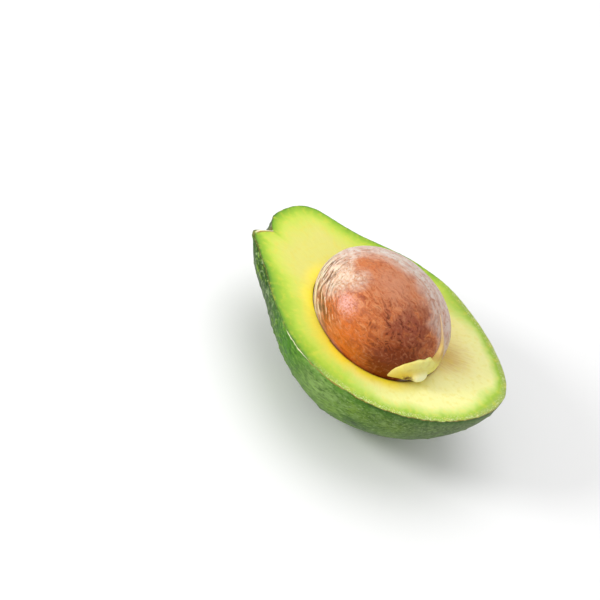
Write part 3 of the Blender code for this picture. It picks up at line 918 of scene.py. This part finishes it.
# Moist, half see-through plant tissue: buttery, golden where it is thin, with a few brown spots, and a
# painted highlight on its bulge.
tissue = bpy.data.materials.new("moist_seed_tissue")
tissue.use_nodes = True
tree = tissue.node_tree
shader = tree.nodes["Principled BSDF"]
place = add(tree, "TexCoord", out="Object")
mottle = add(tree, "TexNoise", {"Vector": place, "Scale": 1 / (2.0 * MM), "Detail": 4.0})
along = add(tree, "Attribute", out="Fac", attribute_name="along")
base = add(tree, "ValToRGB", {"Fac": along}, stops=[
    (0.00, "#E9CF7E"), (0.16, "#EAD768"), (0.36, "#E8E284"), (0.50, "#E6DC70"),
    (0.62, "#BE8C36"), (0.78, "#ECC894"), (1.00, "#E8BC9A"),
])
shade = add(tree, "MapRange", {0: mottle, 1: 0.5, 2: 0.75, 4: 0.45})
base = add(tree, "Mix", {0: shade, 6: base, 7: "#C9A24E"}, **MIX_SHADE)
golden = add(tree, "Attribute", out="Fac", attribute_name="golden_edge")
base = add(tree, "Mix", {0: golden, 6: base, 7: "#FFD880"}, **MIX_SHADE)
butter = add(tree, "Attribute", out="Fac", attribute_name="butter_yellow")
butter = add(tree, "Math", {0: butter, 1: 0.75}, operation="MULTIPLY")
base = add(tree, "Mix", {0: butter, 6: base, 7: "#EDC838"}, **MIX_SHADE)
spots = add(tree, "TexNoise", {"Vector": place, "Scale": 1 / (1.1 * MM), "Detail": 2.0})
spots = add(tree, "MapRange", {0: spots, 1: 0.38, 2: 0.46})
browned = add(tree, "Attribute", out="Fac", attribute_name="browned")
spots = add(tree, "Math", {0: spots, 1: browned}, operation="MULTIPLY", use_clamp=True)
base = add(tree, "Mix", {0: spots, 6: base, 7: "#5E200A"}, **MIX_SHADE)
# The bulge's near white is a painted highlight.
bulge_highlight = add(tree, "Attribute", out="Fac", attribute_name="bulge")
base = add(tree, "Mix", {0: bulge_highlight, 6: base, 7: "#FFFCD0"}, **MIX_SHADE)
tree.links.new(base, shader.inputs["Base Color"])
shader.inputs["Roughness"].default_value = 0.35
shader.inputs["Subsurface Weight"].default_value = 0.25
shader.inputs["Subsurface Radius"].default_value = (1.0, 0.8, 0.3)
shader.inputs["Subsurface Scale"].default_value = 1.5 * MM
bump = add(tree, "Bump", {"Strength": 0.4, "Distance": 0.15 * MM, "Height": mottle})
tree.links.new(bump, shader.inputs["Normal"])
tag.data.materials.append(tissue)

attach(tag, "root")


# ---- The floor, the camera and the light ----
# A pale matt floor, which isn't part of the fruit. The camera looks down on the cut face, across
# the near side. One soft lamp stands at the left and a wider one hangs overhead in a pale room.

bpy.ops.object.select_all(action="DESELECT")
bpy.ops.mesh.primitive_plane_add(size=6)
floor = bpy.context.object
floor.name = "pale_floor"
paint = bpy.data.materials.new("pale_matt_floor")
paint.use_nodes = True
shader = paint.node_tree.nodes["Principled BSDF"]
shader.inputs["Base Color"].default_value = (0.93, 0.93, 0.93, 1)
shader.inputs["Roughness"].default_value = 0.8
floor.data.materials.append(paint)

# The camera's own right, up and back.
view_right = Vector((0.7193, 0.5945, 0.3593))
view_up = Vector((-0.6515, 0.3978, 0.6460))
view_back = Vector((0.2411, -0.6988, 0.6735))
CAMERA_DISTANCE = 0.66
LENS = 109.3
SENSOR = 36.0
AIM_LEFT = 0.040472             # tangents of the angles by which the camera looks past the fruit
AIM_ABOVE = 0.008292

centre = Vector(middle)
bpy.ops.object.camera_add(location=centre + view_back * CAMERA_DISTANCE)
camera = bpy.context.object
camera.name = "camera"
camera.data.lens = LENS
camera.data.sensor_width = SENSOR
aim = centre + CAMERA_DISTANCE * (AIM_ABOVE * view_up - AIM_LEFT * view_right)
roll = math.atan2(view_right.z, view_up.z)
camera.rotation_mode = "QUATERNION"
facing = (-view_back).to_track_quat("-Z", "Y") @ Quaternion((0, 0, 1), roll)
turned = (-view_back).rotation_difference(aim - camera.location)
camera.rotation_quaternion = turned @ facing
bpy.context.scene.camera = camera


def softbox(name, place, size, power):
    bpy.ops.object.light_add(type="AREA", location=centre + place)
    light = bpy.context.object
    light.name = name
    light.data.shape = "DISK"
    light.data.size = size
    light.data.energy = power
    light.rotation_euler = (-place).to_track_quat("-Z", "Y").to_euler()


softbox("key_softbox", Vector((-0.61, -0.66, 0.45)) * 0.9, 0.30, 4.6)
softbox("overhead_softbox", Vector((-0.25, 0.25, 0.95)), 0.9, 3.6)
world = bpy.data.worlds.new("pale_room")
world.use_nodes = True
world.node_tree.nodes["Background"].inputs["Color"].default_value = (1, 1, 1, 1)
world.node_tree.nodes["Background"].inputs["Strength"].default_value = 0.68
bpy.context.scene.world = world
bpy.context.scene.view_settings.view_transform = "Standard"
